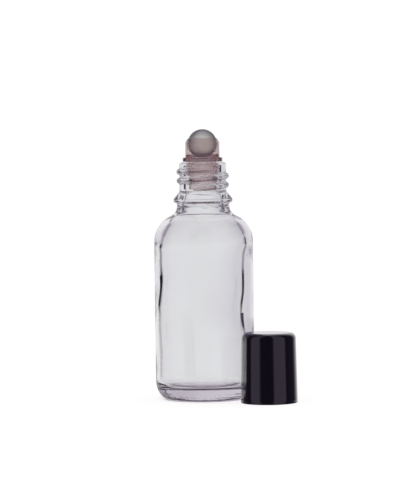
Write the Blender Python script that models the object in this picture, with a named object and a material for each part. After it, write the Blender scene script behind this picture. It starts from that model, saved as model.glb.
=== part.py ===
"""A 30 ml roll-on bottle, standing open.

The bottle is clear moulded glass with a screw-thread neck. A translucent fitment is pressed into
the neck and traps a rolling ball under its lip. The screw cap, with the soft disc that presses on
the ball when it is closed, stands beside the bottle.

Metres, +Z up. The origin is on the bottle's axis, at the surface that the bottle stands on.
-Y is the front, and the cap stands at the front right.
"""

import math

import bmesh
import bpy

MM = 0.001

# Glass body
BODY_RADIUS = 16.5 * MM
BODY_TOP = 52.6 * MM  # where the straight side ends and the shoulder starts
HEEL_WIDTH = 4.2 * MM  # the rounded edge round its foot, a quarter of an ellipse
HEEL_HEIGHT = 6.3 * MM
SHOULDER_RADIUS = 9.4 * MM
FOOT_WIDTH = 1.2 * MM  # the flat ring that it stands on
PUSH_UP_HEIGHT = 0.4 * MM  # the shallow hollow inside that ring
PUSH_UP_SLOPE = 0.8 * MM
BODY_WALL = 2.9 * MM
SHOULDER_WALL = 2.5 * MM
WALL_TAPER = 7.0 * MM  # height in which the body's wall thins to the shoulder's
FLOOR_THICKNESS = 4.2 * MM
INNER_HEEL_RADIUS = 1.1 * MM

# Glass neck, from the shoulder up
NECK_RADIUS = 8.73 * MM
NECK_FILLET = 3.8 * MM
NECK_LAND = 1.2 * MM
BEAD_RADIUS = 9.72 * MM  # the collar under the thread
BEAD_UNDERSIDE = 0.35 * MM
BEAD_LAND = 0.6 * MM
BEAD_RAMP = 2.5 * MM
FINISH_LENGTH = 9.9 * MM  # from the collar to the rim
FINISH_RADIUS = 7.84 * MM  # at the thread's root
RIM_ROUND = 1.2 * MM
MOUTH_CHAMFER = 0.3 * MM
BORE_RADIUS = 5.65 * MM
BORE_FLARE_RISE = 0.6 * MM  # how far above the collar the bore starts to widen

# Screw thread, on the neck and in the cap
THREAD_PITCH = 3.0 * MM
THREAD_DEPTH = 0.76 * MM
THREAD_ROOT_WIDTH = 1.7 * MM
THREAD_CREST_WIDTH = 0.7 * MM
THREAD_EMBED = 0.3 * MM  # how far a ridge is sunk into the wall that carries it
THREAD_LEAD = 1.5 * MM  # from the collar to the middle of the ridge's lower end
THREAD_TAIL = 1.8 * MM  # from the middle of its upper end to the rim
THREAD_START_ANGLE = math.radians(-120)
THREAD_FADE_SHARE = 0.09  # of a turn, over which each end of a ridge sinks into the wall
THREAD_STATIONS = 48  # sections of a ridge in one turn

# Ball and the fitment that holds it
BALL_RADIUS = 4.9 * MM
BALL_CLEARANCE = 0.12 * MM
HOUSING_WALL = 0.66 * MM
LIP_RISE = 1.9 * MM  # from the ball's centre to the lip's top edge
LIP_EDGE = 0.1 * MM  # the lip's flat top
CHAMFER_RISE = 0.55 * MM  # from the ball's centre to the foot of the lip's outer slope
SEAT_WIDTH = 0.66 * MM  # the ledge under the ball, round the hole that feeds it
SEAT_THICKNESS = 0.9 * MM
SEAT_RISE = 1.1 * MM  # from the flange's underside to the seat's
CUP_FILLET = 0.4 * MM  # where the seat meets the wall round the ball
FLANGE_WIDTH = 0.95 * MM
FLANGE_THICKNESS = 1.3 * MM
FLANGE_FILLET = 0.4 * MM
FLANGE_CHAMFER = 0.25 * MM
FLANGE_GAP = 0.1 * MM
PLUG_LENGTH = 9.4 * MM
PLUG_COLLAR_LENGTH = 3.6 * MM
PLUG_TAPER_LENGTH = 2.4 * MM
PLUG_RADIUS = 4.66 * MM
PLUG_WALL = 0.8 * MM
PLUG_TIP_CHAMFER = 0.35 * MM
PLUG_CLEARANCE = 0.1 * MM
SEAL_GROOVES = 2  # between the plug's sealing rings
SEAL_DEPTH = 0.25 * MM
SEAL_WIDTH = 0.7 * MM
SEAL_SLOPE = 0.2 * MM
FEED_SLOTS = 4  # notches in the seat that let liquid past the ball
FEED_SLOT_WIDTH = 0.9 * MM
FEED_SLOT_DEPTH = 0.4 * MM

# Screw cap and its liner
CAP_WALL = 0.64 * MM
CAP_CLEARANCE = 0.15 * MM
CAP_DRAFT = 0.42 * MM  # how much smaller its top's radius is than its foot's
CAP_STEP = 0.85 * MM  # how far the inside narrows above the thread
CAP_ROOF = 1.2 * MM
CAP_TOP_ROUND = 1.9 * MM
CAP_FOOT_ROUND = 0.25 * MM
CAP_MOUTH_CHAMFER = 0.2 * MM
CAP_FOOT_GAP = 0.2 * MM  # to the collar, when the cap is closed
CAP_RIM_GAP = 0.5 * MM  # from the bottle's rim to the step, when the cap is closed
CAP_THREAD_LEAD = 1.4 * MM
CAP_THREAD_ROOT_WIDTH = 1.0 * MM
CAP_THREAD_CREST_WIDTH = 0.5 * MM
LINER_THICKNESS = 1.0 * MM
LINER_CLEARANCE = 0.1 * MM
LINER_CHAMFER = 0.15 * MM
CATCH_DEPTH = 0.35 * MM  # the small ring in the cap that keeps the liner in
CATCH_HEIGHT = 0.5 * MM
BALL_GAP = 0.1 * MM  # from the ball to the liner, when the cap is closed

# Where the cap stands
CAP_STANDOFF = 0.6 * MM
CAP_BEARING = math.radians(-38)  # from +X, seen from above

# How finely round shapes are divided
BOTTLE_SEGMENTS = 64
HOUSING_SEGMENTS = 48
CAP_SEGMENTS = 56
LINER_SEGMENTS = 48
BALL_SUBDIVISIONS = 4
CHORD_ERROR = 0.04 * MM  # how far an arc's facet may stray from the true curve
WELD_DISTANCE = 0.001 * MM
CUT_OVERRUN = 0.4 * MM
SHARP_ANGLE = math.radians(30)

# Radii and heights of the glass
FOOT_OUTER = BODY_RADIUS - HEEL_WIDTH
FOOT_INNER = FOOT_OUTER - FOOT_WIDTH
SHOULDER_CENTRE_RADIUS = BODY_RADIUS - SHOULDER_RADIUS
FILLET_CENTRE_RADIUS = NECK_RADIUS + NECK_FILLET
FILLET_REACH = FILLET_CENTRE_RADIUS - SHOULDER_CENTRE_RADIUS
FILLET_RISE = math.sqrt((SHOULDER_RADIUS + NECK_FILLET) ** 2 - FILLET_REACH**2)
SHOULDER_SWEEP = math.atan2(FILLET_RISE, FILLET_REACH)
NECK_FOOT = BODY_TOP + FILLET_RISE
BEAD_BOTTOM = NECK_FOOT + NECK_LAND
RAMP_FOOT = BEAD_BOTTOM + BEAD_UNDERSIDE + BEAD_LAND
BEAD_TOP = RAMP_FOOT + BEAD_RAMP
RIM = BEAD_TOP + FINISH_LENGTH
THREAD_CREST_RADIUS = FINISH_RADIUS + THREAD_DEPTH
THREAD_RISE = FINISH_LENGTH - THREAD_LEAD - THREAD_TAIL

# Radii and heights of the fitment. SEAT_TOP, BALL_LEVEL and LIP_TOP are above the flange's underside.
SOCKET_RADIUS = BALL_RADIUS + BALL_CLEARANCE
HOUSING_RADIUS = SOCKET_RADIUS + HOUSING_WALL
FLANGE_RADIUS = HOUSING_RADIUS + FLANGE_WIDTH
COLLAR_RADIUS = BORE_RADIUS - PLUG_CLEARANCE
PLUG_BORE_RADIUS = PLUG_RADIUS - PLUG_WALL
SEAT_HOLE_RADIUS = PLUG_BORE_RADIUS - SEAT_WIDTH
SEAT_TOP = SEAT_RISE + SEAT_THICKNESS
BALL_LEVEL = SEAT_TOP + math.sqrt(SOCKET_RADIUS**2 - SEAT_HOLE_RADIUS**2)
LIP_TOP = BALL_LEVEL + LIP_RISE
FLANGE_BOTTOM = RIM + FLANGE_GAP
BALL_CENTRE = FLANGE_BOTTOM + BALL_LEVEL

# Radii and heights of the cap. All but CAP_CLOSED_FOOT are above the cap's foot.
CAP_THREAD_RADIUS = THREAD_CREST_RADIUS + CAP_CLEARANCE
CAP_FOOT_RADIUS = CAP_THREAD_RADIUS + CAP_WALL
CAP_TOP_RADIUS = CAP_FOOT_RADIUS - CAP_DRAFT
CAP_UPPER_RADIUS = CAP_THREAD_RADIUS - CAP_STEP
CAP_CLOSED_FOOT = BEAD_TOP + CAP_FOOT_GAP
CAP_STEP_HEIGHT = RIM + CAP_RIM_GAP - CAP_CLOSED_FOOT
LINER_RADIUS = CAP_UPPER_RADIUS - LINER_CLEARANCE
LINER_BOTTOM = BALL_CENTRE + BALL_RADIUS + BALL_GAP - CAP_CLOSED_FOOT
CATCH_TOP = LINER_BOTTOM - LINER_CLEARANCE
CAP_ROOF_UNDERSIDE = LINER_BOTTOM + LINER_THICKNESS + LINER_CLEARANCE
CAP_HEIGHT = CAP_ROOF_UNDERSIDE + CAP_ROOF
CAP_DISTANCE = BODY_RADIUS + CAP_FOOT_RADIUS + CAP_STANDOFF
CAP_PLACE = (CAP_DISTANCE * math.cos(CAP_BEARING), CAP_DISTANCE * math.sin(CAP_BEARING), 0)


def arc(centre, radius, start, end, stretch=1):
    """Points of an arc in the (radius, height) plane, with angles from straight outward.

    A stretch other than 1 makes it part of an ellipse, that many times as high as it is wide.
    """
    facet_angle = 2 * math.acos(1 - CHORD_ERROR / radius)
    steps = math.ceil(abs(end - start) / facet_angle)
    points = []
    for i in range(steps + 1):
        angle = start + (end - start) * i / steps
        rise = stretch * radius * math.sin(angle)
        points.append((centre[0] + radius * math.cos(angle), centre[1] + rise))
    return points


def material(name, colour, roughness, transmission=0.0, alpha=1.0):
    """A Principled BSDF of one colour."""
    made = bpy.data.materials.new(name)
    made.use_nodes = True
    made.diffuse_color = (*colour, alpha)
    shader = made.node_tree.nodes["Principled BSDF"]
    shader.inputs["Base Color"].default_value = (*colour, 1)
    shader.inputs["Roughness"].default_value = roughness
    shader.inputs["Transmission Weight"].default_value = transmission
    return made


def empty(name, location):
    """An axis that moving pieces hang on."""
    made = bpy.data.objects.new(name, None)
    bpy.context.collection.objects.link(made)
    made.location = location
    return made


def place(name, bm, surface=None, parent=None, location=(0, 0, 0)):
    """Turns a bmesh into a named object with outward faces, smooth except at its edges."""
    bmesh.ops.remove_doubles(bm, verts=bm.verts, dist=WELD_DISTANCE)
    bmesh.ops.recalc_face_normals(bm, faces=bm.faces)
    mesh = bpy.data.meshes.new(name)
    bm.to_mesh(mesh)
    bm.free()
    mesh.shade_smooth()
    mesh.set_sharp_from_angle(angle=SHARP_ANGLE)
    if surface is not None:
        mesh.materials.append(surface)
    made = bpy.data.objects.new(name, mesh)
    bpy.context.collection.objects.link(made)
    made.parent = parent
    made.location = location
    return made


def turned(outline, segments):
    """Spins an outline of (radius, height) points once round the Z axis."""
    bm = bmesh.new()
    points = [bm.verts.new((radius, 0, height)) for radius, height in outline]
    edges = [bm.edges.new(pair) for pair in zip(points, points[1:])]
    bmesh.ops.spin(
        bm,
        geom=points + edges,
        cent=(0, 0, 0),
        axis=(0, 0, 1),
        angle=math.tau,
        steps=segments,
        use_merge=True,
    )
    return bm


def ridge(wall_radius, outward, widths, start_angle, foot, rise):
    """A helical ridge on a wall, outwards for 1 and inwards for -1, with its (root, crest) widths.

    Its section is a trapezium sunk into the wall, and it sinks below the wall at both ends.
    """
    root_width, crest_width = widths
    turns = rise / THREAD_PITCH
    steps = math.ceil(turns * THREAD_STATIONS)
    sunk_radius = wall_radius - outward * THREAD_EMBED
    sunk_width = root_width + (root_width - crest_width) * THREAD_EMBED / THREAD_DEPTH
    lowest_crest = -THREAD_EMBED / 2
    bm = bmesh.new()
    sections = []
    for i in range(steps + 1):
        turn = turns * i / steps
        angle = start_angle + math.tau * turn
        middle = foot + THREAD_PITCH * turn
        fade = min(1, turn / THREAD_FADE_SHARE, (turns - turn) / THREAD_FADE_SHARE)
        crest = lowest_crest + (THREAD_DEPTH - lowest_crest) * fade
        crest_radius = wall_radius + outward * crest
        corners = (
            (sunk_radius, middle - sunk_width / 2),
            (crest_radius, middle - crest_width / 2),
            (crest_radius, middle + crest_width / 2),
            (sunk_radius, middle + sunk_width / 2),
        )
        cosine = math.cos(angle)
        sine = math.sin(angle)
        sections.append([bm.verts.new((r * cosine, r * sine, z)) for r, z in corners])
    for lower, upper in zip(sections, sections[1:]):
        for k in range(len(lower)):
            after = (k + 1) % len(lower)
            bm.faces.new((lower[k], lower[after], upper[after], upper[k]))
    bm.faces.new(sections[0])
    bm.faces.new(sections[-1])
    return bm


def combine(host, helper, operation):
    """Joins a helper to its host, or cuts it away, and leaves the helper itself out."""
    helper.hide_render = True
    helper.display_type = "WIRE"
    step = host.modifiers.new(helper.name, "BOOLEAN")
    step.operation = operation
    step.object = helper


def bottle_outline():
    """From the middle of the underside, up the outside, over the rim and down the inside."""
    inner_radius = BODY_RADIUS - BODY_WALL
    inner_heel_centre = (inner_radius - INNER_HEEL_RADIUS, FLOOR_THICKNESS + INNER_HEEL_RADIUS)
    shoulder_centre = (SHOULDER_CENTRE_RADIUS, BODY_TOP)
    fillet_centre = (FILLET_CENTRE_RADIUS, NECK_FOOT)
    quarter = math.pi / 2
    foot = [(0, PUSH_UP_HEIGHT), (FOOT_INNER - PUSH_UP_SLOPE, PUSH_UP_HEIGHT), (FOOT_INNER, 0)]
    heel_centre = (FOOT_OUTER, HEEL_HEIGHT)
    heel = arc(heel_centre, HEEL_WIDTH, -quarter, 0, HEEL_HEIGHT / HEEL_WIDTH)
    shoulder = arc(shoulder_centre, SHOULDER_RADIUS, 0, SHOULDER_SWEEP)
    neck = arc(fillet_centre, NECK_FILLET, math.pi + SHOULDER_SWEEP, math.pi)[1:]
    bead = [
        (NECK_RADIUS, BEAD_BOTTOM),
        (BEAD_RADIUS, BEAD_BOTTOM + BEAD_UNDERSIDE),
        (BEAD_RADIUS, RAMP_FOOT),
        (FINISH_RADIUS, BEAD_TOP),
    ]
    rim = arc((FINISH_RADIUS - RIM_ROUND, RIM - RIM_ROUND), RIM_ROUND, 0, quarter)
    bore = [
        (BORE_RADIUS + MOUTH_CHAMFER, RIM),
        (BORE_RADIUS, RIM - MOUTH_CHAMFER),
        (BORE_RADIUS, BEAD_TOP + BORE_FLARE_RISE),
        (NECK_RADIUS - SHOULDER_WALL, RAMP_FOOT),
    ]
    inner_neck = arc(fillet_centre, NECK_FILLET + SHOULDER_WALL, math.pi, math.pi + SHOULDER_SWEEP)
    inner_shoulder = arc(shoulder_centre, SHOULDER_RADIUS - SHOULDER_WALL, SHOULDER_SWEEP, 0)[1:]
    inner_side = [(inner_radius, BODY_TOP - WALL_TAPER)]
    inner_heel = arc(inner_heel_centre, INNER_HEEL_RADIUS, 0, -quarter)
    outside = foot + heel + shoulder + neck + bead + rim
    inside = bore + inner_neck + inner_shoulder + inner_side + inner_heel
    return outside + inside + [(0, FLOOR_THICKNESS)]


def make_bottle():
    """The clear glass bottle, with the thread's ridge joined to its neck."""
    glass = material("clear_glass", (0.86, 0.85, 0.88), 0.02, transmission=1.0, alpha=0.35)
    bottle = place("glass_bottle", turned(bottle_outline(), BOTTLE_SEGMENTS), glass)
    thread = ridge(
        FINISH_RADIUS,
        1,
        (THREAD_ROOT_WIDTH, THREAD_CREST_WIDTH),
        THREAD_START_ANGLE,
        BEAD_TOP + THREAD_LEAD,
        THREAD_RISE,
    )
    combine(bottle, place("neck_thread", thread), "UNION")


def housing_outline():
    """The fitment's closed outline, with heights from the flange's underside."""
    lip_angle = math.asin(LIP_RISE / SOCKET_RADIUS)
    seat = [
        (SEAT_HOLE_RADIUS, SEAT_TOP),
        (SOCKET_RADIUS - CUP_FILLET, SEAT_TOP),
        (SOCKET_RADIUS, SEAT_TOP + CUP_FILLET),
    ]
    socket = arc((0, BALL_LEVEL), SOCKET_RADIUS, 0, lip_angle)
    outside = [
        (SOCKET_RADIUS * math.cos(lip_angle) + LIP_EDGE, LIP_TOP),
        (HOUSING_RADIUS, BALL_LEVEL + CHAMFER_RISE),
        (HOUSING_RADIUS, FLANGE_THICKNESS + FLANGE_FILLET),
        (HOUSING_RADIUS + FLANGE_FILLET, FLANGE_THICKNESS),
        (FLANGE_RADIUS - FLANGE_CHAMFER, FLANGE_THICKNESS),
        (FLANGE_RADIUS, FLANGE_THICKNESS - FLANGE_CHAMFER),
        (FLANGE_RADIUS, 0),
        (COLLAR_RADIUS, 0),
    ]
    seals = []
    for groove in range(SEAL_GROOVES):
        top = -SEAL_WIDTH - groove * (SEAL_WIDTH + 2 * SEAL_SLOPE)
        seals += [
            (COLLAR_RADIUS, top),
            (COLLAR_RADIUS - SEAL_DEPTH, top - SEAL_SLOPE),
            (COLLAR_RADIUS, top - 2 * SEAL_SLOPE),
        ]
    plug = [
        (COLLAR_RADIUS, -PLUG_COLLAR_LENGTH),
        (PLUG_RADIUS, -PLUG_COLLAR_LENGTH - PLUG_TAPER_LENGTH),
        (PLUG_RADIUS, PLUG_TIP_CHAMFER - PLUG_LENGTH),
        (PLUG_RADIUS - PLUG_TIP_CHAMFER, -PLUG_LENGTH),
        (PLUG_BORE_RADIUS, -PLUG_LENGTH),
        (PLUG_BORE_RADIUS, SEAT_RISE),
        (SEAT_HOLE_RADIUS, SEAT_RISE),
    ]
    return seat + socket + outside + seals + plug + seat[:1]


def feed_slots():
    """Cutters for the notches in the seat, with heights from the flange's underside."""
    bm = bmesh.new()
    inner = SEAT_HOLE_RADIUS - CUT_OVERRUN
    outer = SEAT_HOLE_RADIUS + FEED_SLOT_DEPTH
    low = SEAT_RISE - CUT_OVERRUN
    high = BALL_LEVEL
    for slot in range(FEED_SLOTS):
        turn = math.tau * slot / FEED_SLOTS
        for corner in bmesh.ops.create_cube(bm, size=1)["verts"]:
            out = (inner + outer) / 2 + (outer - inner) * corner.co.x
            across = FEED_SLOT_WIDTH * corner.co.y
            height = (low + high) / 2 + (high - low) * corner.co.z
            corner.co = (
                out * math.cos(turn) - across * math.sin(turn),
                out * math.sin(turn) + across * math.cos(turn),
                height,
            )
    return bm


def make_housing():
    """The fitment: cup and lip for the ball, flange on the rim and plug in the neck."""
    plastic = material("natural_polymer", (0.66, 0.6, 0.6), 0.35, transmission=0.4, alpha=0.9)
    axis = empty("housing_axis", (0, 0, FLANGE_BOTTOM))
    housing = place("ball_housing", turned(housing_outline(), HOUSING_SEGMENTS), plastic, axis)
    combine(housing, place("feed_slots", feed_slots(), parent=axis), "DIFFERENCE")


def make_ball():
    """The ball, with its origin at its centre, where its rolling axis is."""
    polymer = material("ball_polymer", (0.6, 0.58, 0.56), 0.3)
    bm = bmesh.new()
    bmesh.ops.create_icosphere(bm, subdivisions=BALL_SUBDIVISIONS, radius=BALL_RADIUS)
    place("roller_ball", bm, polymer, location=(0, 0, BALL_CENTRE))


def cap_outline():
    """From the middle of the roof's top, down the outside and up the inside."""
    round_centre = (CAP_TOP_RADIUS - CAP_TOP_ROUND, CAP_HEIGHT - CAP_TOP_ROUND)
    top_round = arc(round_centre, CAP_TOP_ROUND, math.pi / 2, 0)
    foot = [
        (CAP_FOOT_RADIUS, CAP_FOOT_ROUND),
        (CAP_FOOT_RADIUS - CAP_FOOT_ROUND, 0),
        (CAP_THREAD_RADIUS + CAP_MOUTH_CHAMFER, 0),
        (CAP_THREAD_RADIUS, CAP_MOUTH_CHAMFER),
    ]
    inside = [
        (CAP_THREAD_RADIUS, CAP_STEP_HEIGHT),
        (CAP_UPPER_RADIUS, CAP_STEP_HEIGHT + CAP_STEP),
        (CAP_UPPER_RADIUS, CATCH_TOP - CATCH_HEIGHT),
        (CAP_UPPER_RADIUS - CATCH_DEPTH, CATCH_TOP - CATCH_HEIGHT / 2),
        (CAP_UPPER_RADIUS, CATCH_TOP),
        (CAP_UPPER_RADIUS, CAP_ROOF_UNDERSIDE),
        (0, CAP_ROOF_UNDERSIDE),
    ]
    return [(0, CAP_HEIGHT)] + top_round + foot + inside


def liner_outline():
    """From the middle of the face that meets the ball, round its edge to the middle of its back."""
    return [
        (0, 0),
        (LINER_RADIUS - LINER_CHAMFER, 0),
        (LINER_RADIUS, LINER_CHAMFER),
        (LINER_RADIUS, LINER_THICKNESS),
        (0, LINER_THICKNESS),
    ]


def make_cap():
    """The cap with its inner thread, and the liner in its roof, both on the cap's own axis."""
    black = material("gloss_black", (0.012, 0.012, 0.016), 0.12)
    foam = material("liner_foam", (0.85, 0.85, 0.83), 0.8)
    axis = empty("cap_axis", CAP_PLACE)
    cap = place("screw_cap", turned(cap_outline(), CAP_SEGMENTS), black, axis)
    thread = ridge(
        CAP_THREAD_RADIUS,
        -1,
        (CAP_THREAD_ROOT_WIDTH, CAP_THREAD_CREST_WIDTH),
        0,
        CAP_THREAD_LEAD,
        CAP_STEP_HEIGHT - 2 * CAP_THREAD_LEAD,
    )
    combine(cap, place("cap_thread", thread, parent=axis), "UNION")
    liner = turned(liner_outline(), LINER_SEGMENTS)
    place("cap_liner", liner, foam, axis, (0, 0, LINER_BOTTOM))


def main():
    """Clears the scene and builds every piece at rest."""
    for leftover in list(bpy.data.objects):
        bpy.data.objects.remove(leftover)
    make_bottle()
    make_housing()
    make_ball()
    make_cap()


main()
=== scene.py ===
import math

import bmesh
import bpy
from mathutils import Matrix, Vector


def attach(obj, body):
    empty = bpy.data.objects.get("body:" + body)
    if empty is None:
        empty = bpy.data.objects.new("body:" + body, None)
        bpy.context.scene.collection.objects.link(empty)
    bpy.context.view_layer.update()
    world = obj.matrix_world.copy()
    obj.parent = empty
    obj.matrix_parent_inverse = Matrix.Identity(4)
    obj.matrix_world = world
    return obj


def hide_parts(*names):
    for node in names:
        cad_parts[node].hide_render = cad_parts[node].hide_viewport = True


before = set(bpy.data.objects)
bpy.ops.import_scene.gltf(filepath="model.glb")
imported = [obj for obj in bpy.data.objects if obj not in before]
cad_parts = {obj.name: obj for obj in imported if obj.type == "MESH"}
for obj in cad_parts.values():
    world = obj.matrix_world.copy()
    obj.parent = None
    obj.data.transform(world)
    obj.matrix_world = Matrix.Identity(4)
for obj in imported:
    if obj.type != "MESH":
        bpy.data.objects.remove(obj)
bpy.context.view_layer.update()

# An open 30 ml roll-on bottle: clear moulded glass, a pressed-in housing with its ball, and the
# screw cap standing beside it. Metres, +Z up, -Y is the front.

MM = 0.001
QUARTER = math.pi / 2
ON_AXIS = 0.0001 * MM

# Glass body
BODY_RADIUS = 16.5 * MM
BODY_TOP = 52.6 * MM
HEEL_WIDTH = 4.2 * MM
HEEL_HEIGHT = 6.3 * MM
SHOULDER_RADIUS = 9.4 * MM
FOOT_INNER = 11.1 * MM
FOOT_OUTER = 12.3 * MM
PUSH_UP_HEIGHT = 0.4 * MM
PUSH_UP_RAMP = 0.8 * MM
INNER_RADIUS = 13.9 * MM
FLOOR_TOP = 4.2 * MM
FLOOR_DOME = 0.4 * MM
INNER_HEEL = 2.2 * MM
INNER_WALL_ROWS = 33
INNER_FLOOR_ROWS = 24
# The inside from the bore to the body: a smooth line through these radii and heights, in mm
INNER_SHOULDER = (
    (5.65, 72.0), (5.68, 70.0), (5.82, 68.0), (6.08, 66.2), (6.3, 64.8), (6.55, 63.6), (7.1, 62.5),
    (8.2, 61.2), (9.5, 59.95), (10.9, 58.4), (12.45, 56.4), (13.5, 54.2), (14.0, 51.5), (13.9, 48.0),
)
# The inner wall, which blowing leaves uneven: height, radius and shift along X, in mm
INNER_WALL = (
    (4, 14.3, -0.15), (19, 14.25, -0.25), (24, 13.85, -0.6), (28, 13.55, -0.9), (31.5, 13.65, -1.0),
    (35.5, 13.65, -0.7), (41, 13.5, -0.42), (45, 13.6, -0.35), (49, 13.85, -0.2), (54, 14.0, 0.05),
    (60, 13.9, 0.15),
)
# It grows uneven over this height below the neck, and a slight twist runs up it
UNEVEN_EASE = 14 * MM
TWIST_DEPTH = 0.04 * MM
TWIST_PER_METRE = 300

# Marks of the mould under the foot: dimples near its rim, a ring of dots, and faint waves inside
MARKS_TOP = 0.6 * MM
MARKS_MARGIN = 0.3 * MM
MARK_DEPTH = 0.12 * MM
DIMPLES_START = 8.6 * MM
DIMPLES_EASE = 0.8 * MM
DIMPLE_PITCH = 1.3 * MM
DIMPLE_COUNT = 72
DOT_RING = 8.4 * MM
DOT_HALF_WIDTH = 0.45 * MM
DOT_COUNT = 56
FOOT_WAVE_DEPTH = 0.015 * MM
FOOT_WAVE_LENGTH = 0.3 * MM
FOOT_WAVE_COUNT = 9

# Streaks and creases round the heel
STREAKS_TOP = 3.6 * MM
STREAKS_EASE = 1.5 * MM
STREAK_DEPTH = 0.03 * MM
STREAK_LENGTH = 0.16 * MM
STREAK_LEAN = 1300
HEEL_CREASES = ((1.4, 0.1), (2.3, 0.06))  # height and depth in mm
HEEL_CREASE_HALF_WIDTH = 0.16 * MM

# Glass neck
NECK_RADIUS = 8.73 * MM
NECK_FILLET = 3.8 * MM
NECK_LAND = 1.2 * MM
BEAD_UNDERSIDE = 0.35 * MM
BEAD_LAND = 0.6 * MM
BEAD_RAMP = 2.5 * MM
FINISH_LENGTH = 9.9 * MM
# The bead under the screw thread: a smooth line through these radii and heights, in mm
BEAD = (
    (8.73, 64.8), (8.77, 65.15), (8.95, 65.42), (9.4, 65.65), (9.76, 65.95), (9.84, 66.3), (9.78, 66.8),
    (9.5, 67.3), (9.03, 67.9), (8.55, 68.4), (8.15, 68.85), (7.93, 69.4), (7.84, 70.1),
)
FINISH_RADIUS = 7.84 * MM
RIM_ROUND = 1.2 * MM
BORE_RADIUS = 5.65 * MM
MOUTH_CHAMFER = 0.3 * MM
# A crease inside the neck, where the glass folded as it was blown
CREASE_HEIGHT = 64.8 * MM
CREASE_HALF_WIDTH = 0.55 * MM
CREASE_DEPTH = 0.18 * MM
# Fine ripples inside the neck, above the crease
RIPPLES_BOTTOM = 66 * MM
RIPPLES_TOP = 70 * MM
RIPPLE_DEPTH = 0.05 * MM
RIPPLE_LENGTH = 0.13 * MM

# Screw thread
THREAD_PITCH = 3.0 * MM
THREAD_DEPTH = 0.92 * MM
THREAD_HALF_WIDTH = 1.05 * MM
THREAD_LEAD = 1.15 * MM
THREAD_TURNS = 2.2
THREAD_START = math.radians(-120)
THREAD_FADE = 0.1  # of a turn
THREAD_LAST_FADE = 0.15  # of a turn
THREAD_ROUNDNESS = 0.65

FILLET_CENTRE = NECK_RADIUS + NECK_FILLET
SHOULDER_CENTRE = BODY_RADIUS - SHOULDER_RADIUS
FILLET_REACH = FILLET_CENTRE - SHOULDER_CENTRE
FILLET_RISE = math.sqrt((SHOULDER_RADIUS + NECK_FILLET) ** 2 - FILLET_REACH**2)
SHOULDER_SWEEP = math.atan2(FILLET_RISE, FILLET_REACH)
NECK_FOOT = BODY_TOP + FILLET_RISE
BEAD_BOTTOM = NECK_FOOT + NECK_LAND
RAMP_FOOT = BEAD_BOTTOM + BEAD_UNDERSIDE + BEAD_LAND
BEAD_TOP = RAMP_FOOT + BEAD_RAMP
RIM = BEAD_TOP + FINISH_LENGTH

# Housing and ball
FLANGE_BOTTOM = RIM + 0.1 * MM
BALL_RADIUS = 4.9 * MM
BALL_LEVEL = 5.868 * MM
SOCKET_RADIUS = 5.02 * MM
HOUSING_RADIUS = 5.68 * MM
HOUSING_SHOULDER = 0.55 * MM
FLANGE_RADIUS = 6.63 * MM
FLANGE_THICKNESS = 1.3 * MM
SEAT_RISE = 1.1 * MM
SEAT_STEP = 0.3 * MM
SEAT_TOP = 2.0 * MM
SEAT_HOLE = 3.2 * MM
LIP_RISE = 1.9 * MM
LIP_LAND = 0.1 * MM
COLLAR_RADIUS = 5.55 * MM
COLLAR_LENGTH = 3.6 * MM
GROOVE_TOPS = (0.7 * MM, 1.8 * MM)  # below the flange
GROOVE_DEPTH = 0.25 * MM
GROOVE_SLOPE = 0.2 * MM
PLUG_RADIUS = 4.66 * MM
PLUG_BORE = 3.86 * MM
PLUG_TAPER_END = 6.0 * MM
PLUG_LENGTH = 9.4 * MM

# Cap
CAP_PLACE = Vector((20.874 * MM, -16.309 * MM, 0))
CAP_FOOT_RADIUS = 9.39 * MM
CAP_TOP_RADIUS = 8.97 * MM
CAP_HEIGHT = 22.968 * MM
CAP_CORNER = 1.9 * MM
CAP_BEAD = 0.6 * MM
CAP_BEAD_GROOVE = 0.1 * MM
CAP_THREAD_RADIUS = 8.75 * MM
CAP_THREAD_FOOT = 1.4 * MM
CAP_THREAD_TURNS = 7.4 / 3.0
CAP_THREAD_HALF_WIDTH = 0.75 * MM
CAP_UPPER_RADIUS = 7.9 * MM
CAP_STEP_HEIGHT = 10.2 * MM
CAP_STEP = 0.85 * MM
CAP_ROOF_UNDERSIDE = 21.768 * MM
LINER_RADIUS = 7.8 * MM
LINER_BOTTOM = 20.668 * MM
LINER_THICKNESS = 1.0 * MM
LINER_CATCH = 0.35 * MM
LINER_CATCH_HEIGHT = 20.318 * MM
LINER_CATCH_SLOPE = 0.25 * MM


def arc(centre, radius, start, end, steps=24, stretch=1):
    """Points of an arc in the (radius, height) plane, with angles from straight outward."""
    points = []
    for i in range(steps + 1):
        angle = start + (end - start) * i / steps
        rise = stretch * radius * math.sin(angle)
        points.append((centre[0] + radius * math.cos(angle), centre[1] + rise))
    return points


def eased(corners, steps=5):
    """An outline of (radius, height, rounding) corners, with each corner rounded off."""
    points = []
    for i, corner in enumerate(corners):
        here = Vector(corner[:2])
        rounding = corner[2] if len(corner) > 2 else 0
        if rounding == 0 or i in (0, len(corners) - 1):
            points.append(tuple(here))
            continue
        back = Vector(corners[i - 1][:2]) - here
        on = Vector(corners[i + 1][:2]) - here
        turn = back.angle(on)
        reach = min(rounding / math.tan(turn / 2), 0.45 * back.length, 0.45 * on.length)
        first = here + back.normalized() * reach
        last = here + on.normalized() * reach
        for k in range(steps + 1):
            t = k / steps
            points.append(tuple((1 - t) ** 2 * first + 2 * t * (1 - t) * here + t * t * last))
    return points


def filled(outline, longest=1.5 * MM, edge=0.12 * MM):
    """The outline with more points on its straights, close to each end first."""
    points = [outline[0]]
    for a, b in zip(outline, outline[1:]):
        start = Vector(a)
        run = Vector(b) - start
        length = run.length
        if length > 3 * edge:
            inner = length - 2 * edge
            steps = max(1, math.ceil(inner / longest))
            for k in range(steps + 1):
                points.append(tuple(start + run * ((edge + inner * k / steps) / length)))
        points.append(b)
    return points


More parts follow.
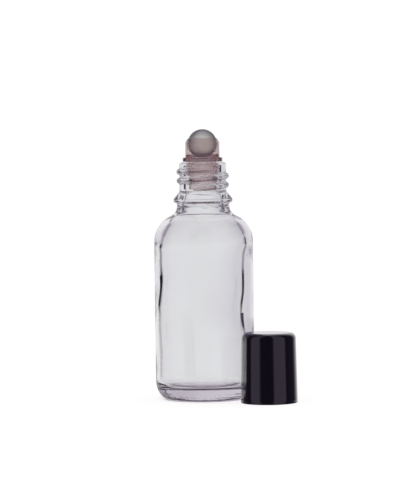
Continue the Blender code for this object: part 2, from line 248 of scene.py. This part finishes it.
def through(points, steps=8):
    """A smooth line through these points, given in millimetres (a centripetal Catmull-Rom)."""
    line = [Vector(p) * MM for p in points]
    line = [2 * line[0] - line[1]] + line + [2 * line[-1] - line[-2]]
    made = []
    for a, b, c, d in zip(line, line[1:], line[2:], line[3:]):
        knots = [0.0]
        for start, end in ((a, b), (b, c), (c, d)):
            knots.append(knots[-1] + math.sqrt((end - start).length))
        for k in range(steps):
            t = knots[1] + (knots[2] - knots[1]) * k / steps

            def between(p, q, low, high):
                return p + (q - p) * ((t - low) / (high - low))

            first = between(a, b, knots[0], knots[1])
            middle = between(b, c, knots[1], knots[2])
            last = between(c, d, knots[2], knots[3])
            first = between(first, middle, knots[0], knots[2])
            last = between(middle, last, knots[1], knots[3])
            made.append(tuple(between(first, last, knots[1], knots[2])))
    return made + [tuple(line[-2])]


def around_axis(radius, height, angle, row):
    """Where a point of a plain turned outline goes."""
    return radius * math.cos(angle), radius * math.sin(angle), height


def turned(name, outline, segments, shape=around_axis, closed=False, place=(0, 0, 0)):
    """A smooth solid of revolution. shape puts each point (radius, height, angle, row) in its place."""
    bm = bmesh.new()
    rows = []
    for row, (radius, height) in enumerate(outline):
        if radius < ON_AXIS:
            rows.append([bm.verts.new((0, 0, height))])
            continue
        angles = [math.tau * j / segments for j in range(segments)]
        rows.append([bm.verts.new(shape(radius, height, angle, row)) for angle in angles])
    pairs = list(zip(rows, rows[1:]))
    if closed:
        pairs.append((rows[-1], rows[0]))
    for low, high in pairs:
        for j in range(segments):
            k = (j + 1) % segments
            corners = [low[j % len(low)], low[k % len(low)], high[k % len(high)], high[j % len(high)]]
            bm.faces.new(list(dict.fromkeys(corners)))
    area = sum(a[0] * b[1] - b[0] * a[1] for a, b in zip(outline, outline[1:] + outline[:1]))
    if area < 0:
        bmesh.ops.reverse_faces(bm, faces=bm.faces)
    bmesh.ops.translate(bm, verts=bm.verts, vec=place)
    return smooth_piece(name, bm)


def smooth_piece(name, bm):
    """A smooth-shaded object from a finished bmesh."""
    mesh = bpy.data.meshes.new(name)
    bm.to_mesh(mesh)
    bm.free()
    mesh.shade_smooth()
    made = bpy.data.objects.new(name, mesh)
    bpy.context.collection.objects.link(made)
    return made


def smooth(t):
    """A smooth step from 0 to 1."""
    t = min(1, max(0, t))
    return t * t * (3 - 2 * t)


def hump(away):
    """A rounded hump: 1 in its middle, and 0 from 1 away onwards."""
    return max(0, 1 - away * away)


def wander(angle, *waves):
    """A gentle wander round the axis, from waves of (amount, count, start)."""
    return sum(amount * math.sin(count * angle + start) for amount, count, start in waves)


def inner_wall(height):
    """The inner wall's radius and shift at this height, on a smooth line through the table."""
    level = height / MM
    if level <= INNER_WALL[0][0]:
        return [value * MM for value in INNER_WALL[0][1:]]
    for i, (low, high) in enumerate(zip(INNER_WALL, INNER_WALL[1:])):
        if level <= high[0]:
            under = INNER_WALL[max(0, i - 1)]
            over = INNER_WALL[min(len(INNER_WALL) - 1, i + 2)]
            span = high[0] - low[0]
            t = (level - low[0]) / span
            made = []
            for k in (1, 2):
                leave = span * (high[k] - under[k]) / (high[0] - under[0])
                arrive = span * (over[k] - low[k]) / (over[0] - low[0])
                bend = (2 * t**3 - 3 * t**2 + 1) * low[k] + (t**3 - 2 * t**2 + t) * leave
                bend += (3 * t**2 - 2 * t**3) * high[k] + (t**3 - t**2) * arrive
                made.append(bend * MM)
            return made
    return [value * MM for value in INNER_WALL[-1][1:]]


def ridge_height(height, angle, start, foot, turns, half_width):
    """How far a rounded helical ridge stands out of its wall at this height and angle, 0 to 1."""
    first = ((angle - start) % math.tau) / math.tau
    best = 0
    for lap in range(math.ceil(turns) + 1):
        turn = first + lap
        if turn > turns:
            break
        away = (height - foot - THREAD_PITCH * turn) / half_width
        fade = smooth(min(turn / THREAD_FADE, (turns - turn) / THREAD_LAST_FADE))
        best = max(best, fade * hump(away) ** THREAD_ROUNDNESS)
    return best


def foot_lift(radius, angle):
    """How far the mould's marks lift the glass under the foot."""
    rim = smooth((radius - DIMPLES_START) / DIMPLES_EASE)
    dimples = 0.5 + 0.5 * math.cos(DIMPLE_COUNT * angle) * math.cos(math.tau * radius / DIMPLE_PITCH)
    dots = hump((radius - DOT_RING) / DOT_HALF_WIDTH) * max(0, math.cos(DOT_COUNT * angle))
    waves = math.sin(radius / FOOT_WAVE_LENGTH + angle) * math.sin(FOOT_WAVE_COUNT * angle)
    return MARK_DEPTH * (dimples * rim + dots) + FOOT_WAVE_DEPTH * (1 - rim) * waves


def heel_dent(height, angle):
    """How far streaks and creases sink into the heel."""
    streak = 1 + math.sin(height / STREAK_LENGTH + wander(angle, (2, 5, 0), (1, 17, 0)))
    patch = 0.5 + 0.5 * math.sin(11 * angle + STREAK_LEAN * height) * math.sin(31 * angle)
    dent = STREAK_DEPTH * streak * patch * smooth((STREAKS_TOP - height) / STREAKS_EASE)
    for level, depth in HEEL_CREASES:
        middle = level + wander(angle, (0.12, 3, level), (0.07, 11, 0))
        away = (height - middle * MM) / HEEL_CREASE_HALF_WIDTH
        dent += depth * MM * hump(away) * (0.6 + wander(angle, (0.4, 23, 9 * level)))
    return dent


def neck_dent(height, angle):
    """How far the crease and the ripples narrow the inside of the neck."""
    fold = CREASE_HEIGHT + wander(angle, (0.22 * MM, 3, 0.8), (0.1 * MM, 7, 0))
    away = (height - fold) / CREASE_HALF_WIDTH
    dent = CREASE_DEPTH * hump(away) * (0.75 + wander(angle, (0.25, 5, 0)))
    if RIPPLES_BOTTOM < height < RIPPLES_TOP:
        envelope = math.sin(math.pi * (height - RIPPLES_BOTTOM) / (RIPPLES_TOP - RIPPLES_BOTTOM)) ** 2
        ripple = 1 + math.sin(height / RIPPLE_LENGTH + math.sin(4 * angle))
        dent += RIPPLE_DEPTH * envelope * ripple
    return dent


def make_bottle():
    """The glass bottle, with a rounded thread, a stippled foot and an uneven inner wall."""
    foot = filled(eased([
        (0, PUSH_UP_HEIGHT),
        (FOOT_INNER - PUSH_UP_RAMP, PUSH_UP_HEIGHT, 0.5 * MM),
        (FOOT_INNER, 0, 0.25 * MM),
        (FOOT_OUTER, 0),
    ]), 0.35 * MM)
    heel = arc((FOOT_OUTER, HEEL_HEIGHT), HEEL_WIDTH, -QUARTER, 0, 64, HEEL_HEIGHT / HEEL_WIDTH)
    shoulder = arc((SHOULDER_CENTRE, BODY_TOP), SHOULDER_RADIUS, 0, SHOULDER_SWEEP, 26)
    neck = arc((FILLET_CENTRE, NECK_FOOT), NECK_FILLET, math.pi + SHOULDER_SWEEP, math.pi, 16)
    screw_neck = through(BEAD) + [(FINISH_RADIUS, RIM - RIM_ROUND)]
    rim = arc((FINISH_RADIUS - RIM_ROUND, RIM - RIM_ROUND), RIM_ROUND, 0, QUARTER, 10)
    outside = filled(foot[:-1] + heel + shoulder[1:] + neck[1:])
    outside += filled(screw_neck, 0.16 * MM) + rim[1:]

    inner_shoulder = through(INNER_SHOULDER)
    mouth = eased([rim[-1], (BORE_RADIUS, RIM, MOUTH_CHAMFER), inner_shoulder[0]])
    heel_centre = (INNER_RADIUS - INNER_HEEL, FLOOR_TOP + INNER_HEEL)
    inner_heel = arc(heel_centre, INNER_HEEL, 0, -QUARTER, 12)
    inside = filled(mouth, 1.0 * MM)[1:] + inner_shoulder[1:]
    top = inner_shoulder[-1][1]
    for i in range(1, INNER_WALL_ROWS):
        inside.append((INNER_RADIUS, top + (inner_heel[0][1] - top) * i / INNER_WALL_ROWS))
    inside += inner_heel
    for i in range(1, INNER_FLOOR_ROWS + 1):
        share = i / INNER_FLOOR_ROWS
        inside.append((inner_heel[-1][0] * (1 - share), FLOOR_TOP + FLOOR_DOME * smooth(share)))
    first_inner = len(outside)

    def shape(radius, height, angle, row):
        if row >= first_inner:
            wall, shift = inner_wall(height)
            share = smooth((NECK_FOOT - height) / UNEVEN_EASE)
            radius *= 1 + share * (wall / INNER_RADIUS - 1)
            radius += share * TWIST_DEPTH * math.sin(3 * angle - TWIST_PER_METRE * height)
            radius -= neck_dent(height, angle)
            return radius * math.cos(angle) + share * shift, radius * math.sin(angle), height
        if height < MARKS_TOP and radius < FOOT_OUTER + MARKS_MARGIN:
            height += foot_lift(radius, angle)
        elif height < STREAKS_TOP:
            radius -= heel_dent(height, angle)
        elif BEAD_TOP - 1 * MM < height < RIM:
            radius += THREAD_DEPTH * ridge_height(
                height, angle, THREAD_START, BEAD_TOP + THREAD_LEAD, THREAD_TURNS, THREAD_HALF_WIDTH
            )
        return around_axis(radius, height, angle, row)

    bottle = turned("bottle_glass", outside + inside, 288, shape)
    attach(bottle, "bottle")
    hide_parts("glass_bottle")
    return bottle


def make_housing():
    """The translucent fitment: cup and lip, flange and sealing plug."""
    base = FLANGE_BOTTOM
    lip_angle = math.asin(LIP_RISE / SOCKET_RADIUS)
    cup = eased([
        (SEAT_HOLE, base + SEAT_RISE + SEAT_STEP),
        (SEAT_HOLE, base + SEAT_TOP, 0.12 * MM),
        (SOCKET_RADIUS, base + SEAT_TOP, 0.4 * MM),
        (SOCKET_RADIUS, base + BALL_LEVEL),
    ])
    socket = cup + arc((0, base + BALL_LEVEL), SOCKET_RADIUS, 0, lip_angle, 20)[1:]
    lip_radius = SOCKET_RADIUS * math.cos(lip_angle) + LIP_LAND
    corners = [
        socket[-1],
        (lip_radius, base + BALL_LEVEL + LIP_RISE, 0.06 * MM),
        (HOUSING_RADIUS, base + BALL_LEVEL + HOUSING_SHOULDER, 0.3 * MM),
        (HOUSING_RADIUS, base + FLANGE_THICKNESS, 0.4 * MM),
        (FLANGE_RADIUS, base + FLANGE_THICKNESS, 0.25 * MM),
        (FLANGE_RADIUS, base, 0.1 * MM),
        (COLLAR_RADIUS, base, 0.1 * MM),
    ]
    for depth in GROOVE_TOPS:
        corners += [
            (COLLAR_RADIUS, base - depth, 0.08 * MM),
            (COLLAR_RADIUS - GROOVE_DEPTH, base - depth - GROOVE_SLOPE, 0.08 * MM),
            (COLLAR_RADIUS, base - depth - 2 * GROOVE_SLOPE, 0.08 * MM),
        ]
    corners += [
        (COLLAR_RADIUS, base - COLLAR_LENGTH, 0.8 * MM),
        (PLUG_RADIUS, base - PLUG_TAPER_END, 0.8 * MM),
        (PLUG_RADIUS, base - PLUG_LENGTH, 0.3 * MM),
        (PLUG_BORE, base - PLUG_LENGTH, 0.15 * MM),
        (PLUG_BORE, base + SEAT_RISE, 0.15 * MM),
        (SEAT_HOLE, base + SEAT_RISE, 0.12 * MM),
        socket[0],
    ]
    outline = socket[:-1] + filled(eased(corners), 1.0 * MM)[:-1]
    housing = turned("ball_fitment", outline, 160, closed=True)
    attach(housing, "housing")
    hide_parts("ball_housing")
    return housing


def make_ball():
    """The rolling ball."""
    bm = bmesh.new()
    bmesh.ops.create_icosphere(bm, subdivisions=6, radius=BALL_RADIUS)
    bmesh.ops.translate(bm, verts=bm.verts, vec=(0, 0, FLANGE_BOTTOM + BALL_LEVEL))
    ball = smooth_piece("applicator_ball", bm)
    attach(ball, "ball")
    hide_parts("roller_ball")
    return ball


def make_cap():
    """The black screw cap, with its inner thread and the little bead round its foot."""
    corner = (CAP_TOP_RADIUS - CAP_CORNER, CAP_HEIGHT - CAP_CORNER)
    top = arc(corner, CAP_CORNER, QUARTER, 0, 14)
    catch = LINER_CATCH_HEIGHT
    wall = eased([
        top[-1],
        (CAP_FOOT_RADIUS - 0.02 * MM, CAP_BEAD + 0.3 * MM, 0.3 * MM),
        (CAP_FOOT_RADIUS - CAP_BEAD_GROOVE, CAP_BEAD + 0.15 * MM, 0.1 * MM),
        (CAP_FOOT_RADIUS, CAP_BEAD, 0.1 * MM),
        (CAP_FOOT_RADIUS, 0, 0.25 * MM),
        (CAP_THREAD_RADIUS + 0.1 * MM, 0, 0.15 * MM),
        (CAP_THREAD_RADIUS, 0.25 * MM, 0.15 * MM),
        (CAP_THREAD_RADIUS, CAP_STEP_HEIGHT, 0.4 * MM),
        (CAP_UPPER_RADIUS, CAP_STEP_HEIGHT + CAP_STEP, 0.4 * MM),
        (CAP_UPPER_RADIUS, catch - LINER_CATCH_SLOPE, 0.1 * MM),
        (CAP_UPPER_RADIUS - LINER_CATCH, catch, 0.15 * MM),
        (CAP_UPPER_RADIUS, catch + LINER_CATCH_SLOPE, 0.1 * MM),
        (CAP_UPPER_RADIUS, CAP_ROOF_UNDERSIDE, 0.05 * MM),
        (0, CAP_ROOF_UNDERSIDE),
    ])

    def shape(radius, height, angle, row):
        if abs(radius - CAP_THREAD_RADIUS) < 0.01 * MM and 0.5 * MM < height < CAP_STEP_HEIGHT:
            radius -= THREAD_DEPTH * ridge_height(
                height, angle, 0, CAP_THREAD_FOOT, CAP_THREAD_TURNS, CAP_THREAD_HALF_WIDTH
            )
        return around_axis(radius, height, angle, row)

    outline = filled([(0, CAP_HEIGHT)] + top + wall[1:], 0.3 * MM)
    cap = turned("black_cap", outline, 192, shape, place=CAP_PLACE)
    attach(cap, "cap")
    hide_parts("screw_cap")
    return cap


def make_liner():
    """The soft disc in the cap's roof."""
    outline = filled(eased([
        (0, LINER_BOTTOM),
        (LINER_RADIUS, LINER_BOTTOM, 0.15 * MM),
        (LINER_RADIUS, LINER_BOTTOM + LINER_THICKNESS, 0.15 * MM),
        (0, LINER_BOTTOM + LINER_THICKNESS),
    ]), 1.0 * MM)
    liner = turned("liner_disc", outline, 128, place=CAP_PLACE)
    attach(liner, "liner")
    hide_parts("cap_liner")
    return liner


class Socket:
    """A value in a finish's nodes. Arithmetic on it adds Math nodes."""

    def __init__(self, owner, link):
        self.owner = owner
        self.link = link

    def _math(self, operation, *values):
        return self.owner.node("ShaderNodeMath", {"operation": operation}, dict(enumerate(values)))

    def __add__(self, other):
        return self._math("ADD", self, other)

    __radd__ = __add__

    def __sub__(self, other):
        return self._math("SUBTRACT", self, other)

    def __rsub__(self, other):
        return self._math("SUBTRACT", other, self)

    def __mul__(self, other):
        return self._math("MULTIPLY", self, other)

    __rmul__ = __mul__

    def __truediv__(self, other):
        return self._math("DIVIDE", self, other)

    def __rtruediv__(self, other):
        return self._math("DIVIDE", other, self)


class Finish:
    """A node tree, of a material or of the world."""

    def __init__(self, owner):
        owner.use_nodes = True
        self.tree = owner.node_tree
        self.end = next(node for node in self.tree.nodes if node.type.startswith("OUTPUT"))

    def node(self, kind, settings=None, values=None, output=0):
        """Adds a node with its settings, then fills its sockets, and returns one output."""
        made = self.tree.nodes.new(kind)
        for key, value in (settings or {}).items():
            if key == "stops":
                ramp = made.color_ramp.elements
                ramp.remove(ramp[1])
                for k, (place, shade) in enumerate(value):
                    stop = ramp.new(place) if k else ramp[0]
                    stop.position = place
                    stop.color = (*shade, 1) if isinstance(shade, tuple) else (shade, shade, shade, 1)
            else:
                setattr(made, key, value)
        for key, value in (values or {}).items():
            if isinstance(value, Socket):
                self.tree.links.new(value.link, made.inputs[key])
            else:
                made.inputs[key].default_value = value
        return Socket(self, made.outputs[output])

    def between(self, value, low, high):
        """0 where the value is at low, 1 where it is at high, and level beyond them."""
        return self.node("ShaderNodeMapRange", None, {0: value, 1: low, 2: high, 3: 0.0, 4: 1.0})

    def shades(self, value, *stops):
        """The shade at this value, from stops of (value, shade)."""
        return self.node("ShaderNodeValToRGB", {"stops": stops}, {"Fac": value})

    def mixed(self, share, first, second):
        """A colour between two others."""
        return self.node("ShaderNodeMix", {"data_type": "RGBA"}, {0: share, 6: first, 7: second}, 2)

    def part(self, vector, axis):
        """A vector's part along X, Y or Z, counted from 0."""
        return self.node("ShaderNodeSeparateXYZ", None, {"Vector": vector}, axis)

    def length(self, vector):
        """A vector's length."""
        return self.node("ShaderNodeVectorMath", {"operation": "LENGTH"}, {0: vector}, 1)

    def place(self):
        """Where a point of the piece is, in metres."""
        return self.node("ShaderNodeTexCoord", output=3)

    def noise(self, place, scale, detail):
        """Soft noise over the piece."""
        values = {"Vector": place, "Scale": scale, "Detail": detail}
        return self.node("ShaderNodeTexNoise", None, values)

    def bump(self, height, strength, distance):
        """A surface raised by a value."""
        values = {"Strength": strength, "Distance": distance, "Height": height}
        return self.node("ShaderNodeBump", None, values)

    def edge(self):
        """0 where the surface is seen straight on, 1 where it is seen edge on."""
        return self.node("ShaderNodeLayerWeight", None, {"Blend": 0.5}, 1)

    def shader(self, **values):
        """Fills the Principled shader's sockets."""
        principled = self.tree.nodes["Principled BSDF"]
        for key, value in values.items():
            name = key.replace("_", " ")
            if isinstance(value, Socket):
                self.tree.links.new(value.link, principled.inputs[name])
            else:
                principled.inputs[name].default_value = value
        return Socket(self, principled.outputs[0])

    def give(self, socket, made):
        """Links a shader to the tree's end, to its Surface or its Volume."""
        self.tree.links.new(made.link, self.end.inputs[socket])


def finish(name, piece):
    """A new finish on this piece, in place of whatever it had."""
    material = bpy.data.materials.new(name)
    made = Finish(material)
    piece.data.materials.clear()
    piece.data.materials.append(material)
    return made


# Painted shade: the dark line along the inner wall, by how edge-on the wall is seen from within the
# glass
PAINTED_SHADE_LINE = ((0.0, 0.0), (0.24, 0.0), (0.25, 0.95), (0.272, 0.95), (0.285, 0.0))
# How strong the painted shade line is, by height in units of 80 mm
PAINTED_SHADE_STRENGTH = (
    (0.075, 0.0), (0.11, 0.25), (0.31, 0.3), (0.36, 0.45), (0.4, 0.95), (0.52, 1.0), (0.555, 0.6),
    (0.645, 0.5), (0.69, 0.0), (0.76, 0.0), (0.8, 0.5), (0.96, 0.5), (1.0, 0.0),
)
PAINTED_SHADE_UNIT = 80 * MM
# The painted shade line ends between these radii, short of the outer wall
PAINTED_SHADE_REACH = (15.3 * MM, 15.5 * MM)


def glass_finish(bottle):
    """Clear moulded glass: faintly wavy, a little lilac where it is thick, with a painted dark shade
    line inside.
    """
    glass = finish("clear moulded glass", bottle)
    place = glass.place()
    wavy = glass.bump(glass.noise(place, scale=160.0, detail=1.0), strength=0.06, distance=0.6 * MM)
    edge = glass.edge()
    tint = glass.shades(
        edge, (0.0, (0.892, 0.902, 0.905)), (0.8, (0.895, 0.895, 0.905)), (1.0, (0.86, 0.84, 0.88))
    )
    clear = glass.shader(Base_Color=tint, Roughness=0.0, IOR=1.5, Transmission_Weight=1.0, Normal=wavy)
    absorb = {"Color": (0.575, 0.5, 0.6, 1), "Density": 30.0}
    glass.give("Volume", glass.node("ShaderNodeVolumeAbsorption", None, absorb))
    # Painted shade: a dark diffuse is mixed into the inner wall where it is seen edge on from within
    # the glass, where light from within the glass begins to be thrown back
    line = glass.shades(edge, *PAINTED_SHADE_LINE)
    within = glass.node("ShaderNodeNewGeometry", output=6)
    flat = glass.node("ShaderNodeVectorMath", {"operation": "MULTIPLY"}, {0: place, 1: (1, 1, 0)})
    inner = 1 - glass.between(glass.length(flat), *PAINTED_SHADE_REACH)
    strength = glass.shades(glass.part(place, 2) / PAINTED_SHADE_UNIT, *PAINTED_SHADE_STRENGTH)
    # Painted shade: a near-black diffuse, mixed in along the line
    dark = glass.node("ShaderNodeBsdfDiffuse", None, {"Color": (0.02, 0.015, 0.025, 1)})
    share = line * within * inner * strength
    glass.give("Surface", glass.node("ShaderNodeMixShader", None, {0: share, 1: clear, 2: dark}))


# Heights between which the painted shade of the flange and the cup fades in or out
FLANGE_SHADE_STARTS = (78.5 * MM, 79.1 * MM)
FLANGE_SHADE_ENDS = (80.4 * MM, 81.2 * MM)
CUP_SHADE_STARTS = (80.8 * MM, 81.6 * MM)


def housing_finish(housing):
    """Natural polymer, translucent and a little pink, with painted shade darkening its flange and cup.
    """
    polymer = finish("natural polymer", housing)
    place = polymer.place()
    haze = polymer.noise(place, scale=900.0, detail=3.0)
    tint = polymer.shades(haze, (0.3, (0.97, 0.93, 0.93)), (0.7, (0.985, 0.945, 0.945)))
    height = polymer.part(place, 2)
    # Painted shade: the flange and the cup are tinted darker and pinker by height
    flange = polymer.between(height, *FLANGE_SHADE_STARTS) * (1 - polymer.between(height, *FLANGE_SHADE_ENDS))
    tint = polymer.mixed(flange, tint, (0.67, 0.67, 0.7, 1))
    tint = polymer.mixed(polymer.between(height, *CUP_SHADE_STARTS), tint, (0.88, 0.82, 0.81, 1))
    polymer.shader(Base_Color=tint, Roughness=0.2, IOR=1.45, Transmission_Weight=1.0)
    absorb = {"Color": (0.73, 0.56, 0.57, 1), "Density": 380.0}
    polymer.give("Volume", polymer.node("ShaderNodeVolumeAbsorption", None, absorb))


def ball_finish(ball):
    """Pale grey polymer with a satin surface, with painted shade darkening it towards its outline."""
    polymer = finish("satin ball", ball)
    grain = polymer.noise(polymer.place(), scale=1200.0, detail=4.0)
    tint = polymer.shades(grain, (0.3, (0.85, 0.865, 0.845)), (0.7, (0.89, 0.905, 0.885)))
    # Painted shade: the ball's colour goes dark towards its outline, by how edge-on it is seen
    tint = polymer.mixed(polymer.between(polymer.edge(), 0.04, 0.66), tint, (0.15, 0.14, 0.2, 1))
    polymer.shader(Base_Color=tint, Roughness=0.35, IOR=1.3, Transmission_Weight=0.7)


def cap_finish(cap):
    """Glossy black moulded plastic with a faint orange peel."""
    black = finish("gloss black", cap)
    peel = black.noise(black.place(), scale=700.0, detail=2.0)
    bump = black.bump(peel, strength=0.03, distance=0.2 * MM)
    rough = 0.08 + peel * 0.05
    black.shader(Base_Color=(0.0035, 0.0035, 0.0045, 1), Roughness=rough, IOR=1.5, Normal=bump)
    black.shader(Coat_Weight=1.0, Coat_Roughness=0.05, Coat_IOR=1.8)


def liner_finish(liner):
    """Soft white foam."""
    foam = finish("liner foam", liner)
    cells = foam.node("ShaderNodeTexVoronoi", None, {"Vector": foam.place(), "Scale": 3000.0})
    bump = foam.bump(cells, strength=0.3, distance=0.1 * MM)
    tint = foam.shades(cells, (0.0, 0.78), (1.0, 0.86))
    foam.shader(Base_Color=tint, Roughness=0.85, Normal=bump)


def make_camera():
    """At the photograph's viewing angle."""
    data = bpy.data.cameras.new("camera")
    data.sensor_width = 36
    data.lens = 168.69
    data.clip_start = 0.01
    camera = bpy.data.objects.new("camera", data)
    bpy.context.collection.objects.link(camera)
    turn = Matrix.Rotation(math.radians(-0.0346), 4, "Z")
    tilt = Matrix.Rotation(QUARTER - math.radians(1.857), 4, "X")
    roll = Matrix.Rotation(math.radians(-0.75), 4, "Z")
    place = Matrix.Translation((0, -770 * MM, 76 * MM))
    camera.matrix_world = place @ turn @ tilt @ roll
    bpy.context.scene.camera = camera


TABLE_RADIUS = 60 * MM
# The table's painted shadow under the bottle, by distance in units of 100 mm: a painted lilac shadow
# that gives the foot its tint, with a dark painted shadow ring at the front that gives it its dark line
PAINTED_SHADOW_UNIT = 100 * MM
PAINTED_SHADOW_PATCH = (0.6, 0.47, 0.64)
PAINTED_SHADOW_RING = (0.03, 0.025, 0.035)
PAINTED_SHADOW_FRONT = (
    (0.0, PAINTED_SHADOW_PATCH), (0.06, (0.58, 0.48, 0.62)), (0.085, (0.22, 0.18, 0.25)), (0.105, PAINTED_SHADOW_RING),
    (0.126, PAINTED_SHADOW_RING), (0.132, PAINTED_SHADOW_PATCH), (0.135, PAINTED_SHADOW_PATCH), (0.143, 1.0),
)
# A lighter painted lilac shadow behind the bottle
PAINTED_SHADOW_REAR = ((0.0, PAINTED_SHADOW_PATCH), (0.1, (0.7, 0.6, 0.74)), (0.125, (0.8, 0.72, 0.83)), (0.15, 1.0))
REAR_SHADOW_STRETCH = (0.92, 1, 1)
REAR_SHADOW_SHIFT = (0, -2 * MM, 0)
REAR_SHADOW_STARTS = (-2 * MM, 3 * MM)


def make_floor():
    """A pale round table top that glows, with a painted lilac shadow under the bottle."""
    mesh = bpy.data.meshes.new("table_top")
    bm = bmesh.new()
    bmesh.ops.create_circle(bm, cap_ends=True, segments=128, radius=TABLE_RADIUS)
    bm.to_mesh(mesh)
    bm.free()
    floor = bpy.data.objects.new("table_top", mesh)
    bpy.context.collection.objects.link(floor)
    floor.visible_glossy = False
    pale = finish("pale table", floor)
    pale.shader(Base_Color=(0.2, 0.2, 0.2, 1), Roughness=0.9, Specular_IOR_Level=0.0)
    place = pale.place()
    # Painted shadow: the table's glow is lilac under the bottle, dark in a ring at its front, and
    # lighter lilac behind it
    front = pale.shades(pale.length(place) / PAINTED_SHADOW_UNIT, *PAINTED_SHADOW_FRONT)
    values = {0: place, 1: REAR_SHADOW_STRETCH, 2: REAR_SHADOW_SHIFT}
    moved = pale.node("ShaderNodeVectorMath", {"operation": "MULTIPLY_ADD"}, values)
    rear = pale.shades(pale.length(moved) / PAINTED_SHADOW_UNIT, *PAINTED_SHADOW_REAR)
    painted_shadow = pale.mixed(pale.between(pale.part(place, 1), *REAR_SHADOW_STARTS), front, rear)
    pale.shader(Emission_Color=painted_shadow, Emission_Strength=0.85)


# What the cap and the glass mirror, by direction in degrees from straight behind, right positive
MIRRORED = (
    (-180, 0.01), (-145, 0.01), (-136, 0.2), (-103, 0.2), (-96, 0.01), (-50, 0.03), (-30, 0.8),
    (0, 0.8), (30, 0.8), (60, 0.03), (106, 0.01), (113, 0.2), (158, 0.2), (166, 0.01), (180, 0.01),
)
# What light sees after it has gone through the glass, by how steeply it rises, from -1 to 1
GROUND_ENDS = (-0.5, -0.3)
FLAGS_START = (-0.034, -0.022)
LEFT_FLAG_DARKENS = (-0.02, -0.017)
CEILING_STARTS = (0.25, 0.3)
LAMP_STARTS = (0.93, 0.96)
LAMP_STRENGTH = 2.2


def lilac(level):
    """A grey with a little lilac in it."""
    return level**0.88, level, level**0.78


CEILING = ((0.25, 0.95), (0.36, lilac(0.35)), (0.6, lilac(0.1)), (0.93, lilac(0.1)), (0.955, 1.0))


def make_studio():
    """A bright backdrop with dark flags beside it, so that clear glass shows its edges."""
    world = bpy.data.worlds.new("studio")
    world.cycles.sampling_method = "NONE"
    bpy.context.scene.world = world
    studio = Finish(world)
    studio.tree.nodes.remove(studio.tree.nodes["Background"])
    direction = studio.node("ShaderNodeTexCoord")
    right, back, rise = (studio.part(direction, axis) for axis in range(3))
    azimuth = studio.node("ShaderNodeMath", {"operation": "ARCTAN2"}, {0: right, 1: back})
    turn = azimuth / math.tau + 0.5

    def around(*stops):
        return studio.shades(turn, *((degrees / 360 + 0.5, lilac(value)) for degrees, value in stops))

    def flagged(left, right):
        """White all round but for a flag on each side, and a little dimmer right of the middle."""
        return around(
            (-180, 1.0), (-60, 1.0), (-56, left), (-41.5, left), (-38.5, 1.0), (3, 1.0), (12, 0.88),
            (20, 0.83), (44, 0.83), (47, right), (60, right), (66, 1.0), (180, 1.0),
        )

    # The flags are faint except at the neck's height, and the left one darkens a little higher up
    dark = studio.between(rise, *LEFT_FLAG_DARKENS)
    seen = studio.mixed(dark, flagged(0.7, 0.02), flagged(0.01, 0.02))
    seen = studio.mixed(studio.between(rise, *FLAGS_START), flagged(0.9, 0.88), seen)
    beyond = studio.between(rise, *CEILING_STARTS) + (1 - studio.between(rise, *GROUND_ENDS))
    seen = studio.mixed(beyond, seen, studio.shades(rise, *CEILING))
    lamp = 1 + studio.between(rise, *LAMP_STARTS) * (LAMP_STRENGTH - 1)
    kinds = studio.node("ShaderNodeLightPath").link.node.outputs

    def background(colour, strength=1.0):
        return studio.node("ShaderNodeBackground", None, {"Color": colour, "Strength": strength})

    def choose(kind, no, yes):
        fac = Socket(studio, kinds[kind])
        return studio.node("ShaderNodeMixShader", None, {0: fac, 1: no, 2: yes})

    lit = background((0.9, 0.9, 0.9, 1))
    lit = choose("Is Glossy Ray", lit, background(around(*MIRRORED)))
    lit = choose("Is Transmission Ray", lit, background(seen, lamp))
    lit = choose("Is Camera Ray", lit, background((1, 1, 1, 1), 1.02))
    studio.give("Surface", lit)


def main():
    """Builds, finishes and lights every piece."""
    glass_finish(make_bottle())
    housing_finish(make_housing())
    ball_finish(make_ball())
    cap_finish(make_cap())
    liner_finish(make_liner())
    make_camera()
    make_floor()
    make_studio()
    scene = bpy.context.scene
    scene.view_settings.view_transform = "Standard"
    scene.cycles.max_bounces = 32
    scene.cycles.transmission_bounces = 32
    scene.cycles.glossy_bounces = 16


main()
